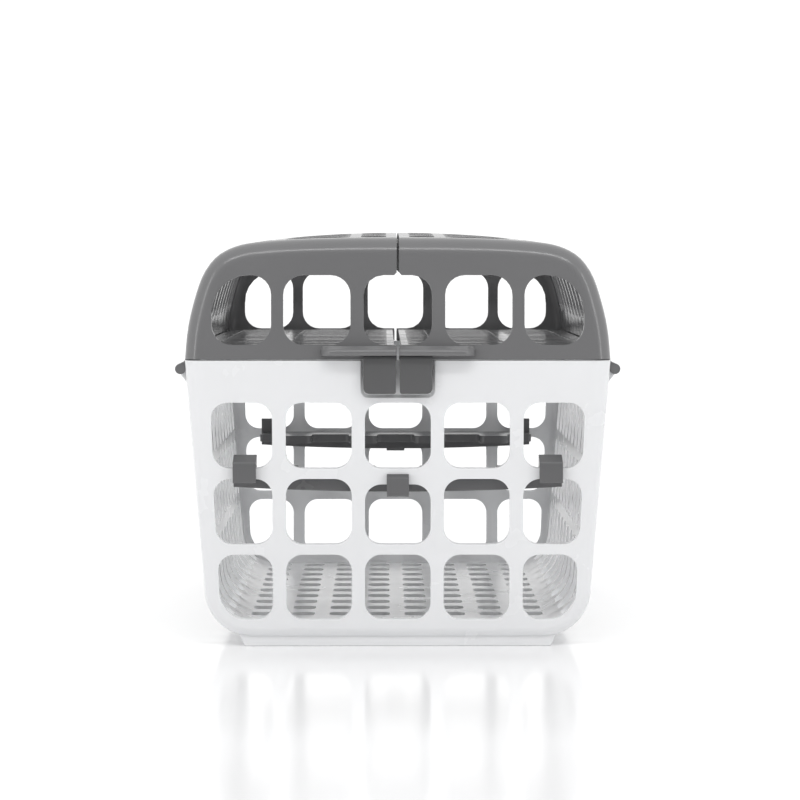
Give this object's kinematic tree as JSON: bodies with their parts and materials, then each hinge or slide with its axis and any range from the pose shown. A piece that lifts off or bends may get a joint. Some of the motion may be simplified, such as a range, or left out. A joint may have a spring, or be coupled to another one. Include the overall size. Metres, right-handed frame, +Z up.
{
  "type": "lidded dishwasher basket",
  "caption": "Lattice basket for small bottle parts, with two hinged lid halves that hold compartments, snap latches at both ends and clip-on racks inside.",
  "frame": {"origin": "on the surface it stands on, under the centre of its bounding box", "axes": "+Z up, +Y along the basket towards the rear end, +X to the right seen from the front end"},
  "size_m": [0.1578, 0.2424, 0.1474],
  "materials": {
    "white_basket": "satin moulded",
    "grey_lid": "satin moulded",
    "grey_floor": "satin moulded",
    "grey_pin": "satin moulded",
    "grey_latch": "satin moulded",
    "grey_rack": "satin moulded"
  },
  "bodies": {
    "basket": {"basket_shell": "white_basket", "rack_front": "grey_rack", "rack_rear": "grey_rack"},
    "lid_left": {"lid_shell_left": "grey_lid", "lid_floor_left": "grey_floor", "hinge_pin_left_front": "grey_pin", "hinge_pin_left_rear": "grey_pin"},
    "lid_right": {"lid_shell_right": "grey_lid", "lid_floor_right": "grey_floor", "hinge_pin_right_front": "grey_pin", "hinge_pin_right_rear": "grey_pin"},
    "latch_left_front": {"latch_finger_left_front": "grey_latch"},
    "latch_left_rear": {"latch_finger_left_rear": "grey_latch"},
    "latch_right_front": {"latch_finger_right_front": "grey_latch"},
    "latch_right_rear": {"latch_finger_right_rear": "grey_latch"}
  },
  "joints": [
    {"name": "lid_left_hinge", "type": "hinge", "parent": "basket", "child": "lid_left", "pos_m": [-0.077, 0, 0.0984], "axis": [0, -1, 0], "range_deg": [0, 180]},
    {"name": "lid_right_hinge", "type": "hinge", "parent": "basket", "child": "lid_right", "pos_m": [0.077, 0, 0.0984], "axis": [0, 1, 0], "range_deg": [0, 180]},
    {"name": "latch_left_front_flex", "type": "hinge", "parent": "lid_left", "child": "latch_left_front", "pos_m": [-0.0065, -0.11735, 0.10255], "axis": [-1, 0, 0], "range_deg": [0, 6], "stiffness_Nm_per_rad": 0.5},
    {"name": "latch_left_rear_flex", "type": "hinge", "parent": "lid_left", "child": "latch_left_rear", "pos_m": [-0.0065, 0.11735, 0.10255], "axis": [1, 0, 0], "range_deg": [0, 6], "stiffness_Nm_per_rad": 0.5},
    {"name": "latch_right_front_flex", "type": "hinge", "parent": "lid_right", "child": "latch_right_front", "pos_m": [0.0065, -0.11735, 0.10255], "axis": [-1, 0, 0], "range_deg": [0, 6], "stiffness_Nm_per_rad": 0.5},
    {"name": "latch_right_rear_flex", "type": "hinge", "parent": "lid_right", "child": "latch_right_rear", "pos_m": [0.0065, 0.11735, 0.10255], "axis": [1, 0, 0], "range_deg": [0, 6], "stiffness_Nm_per_rad": 0.5}
  ]
}
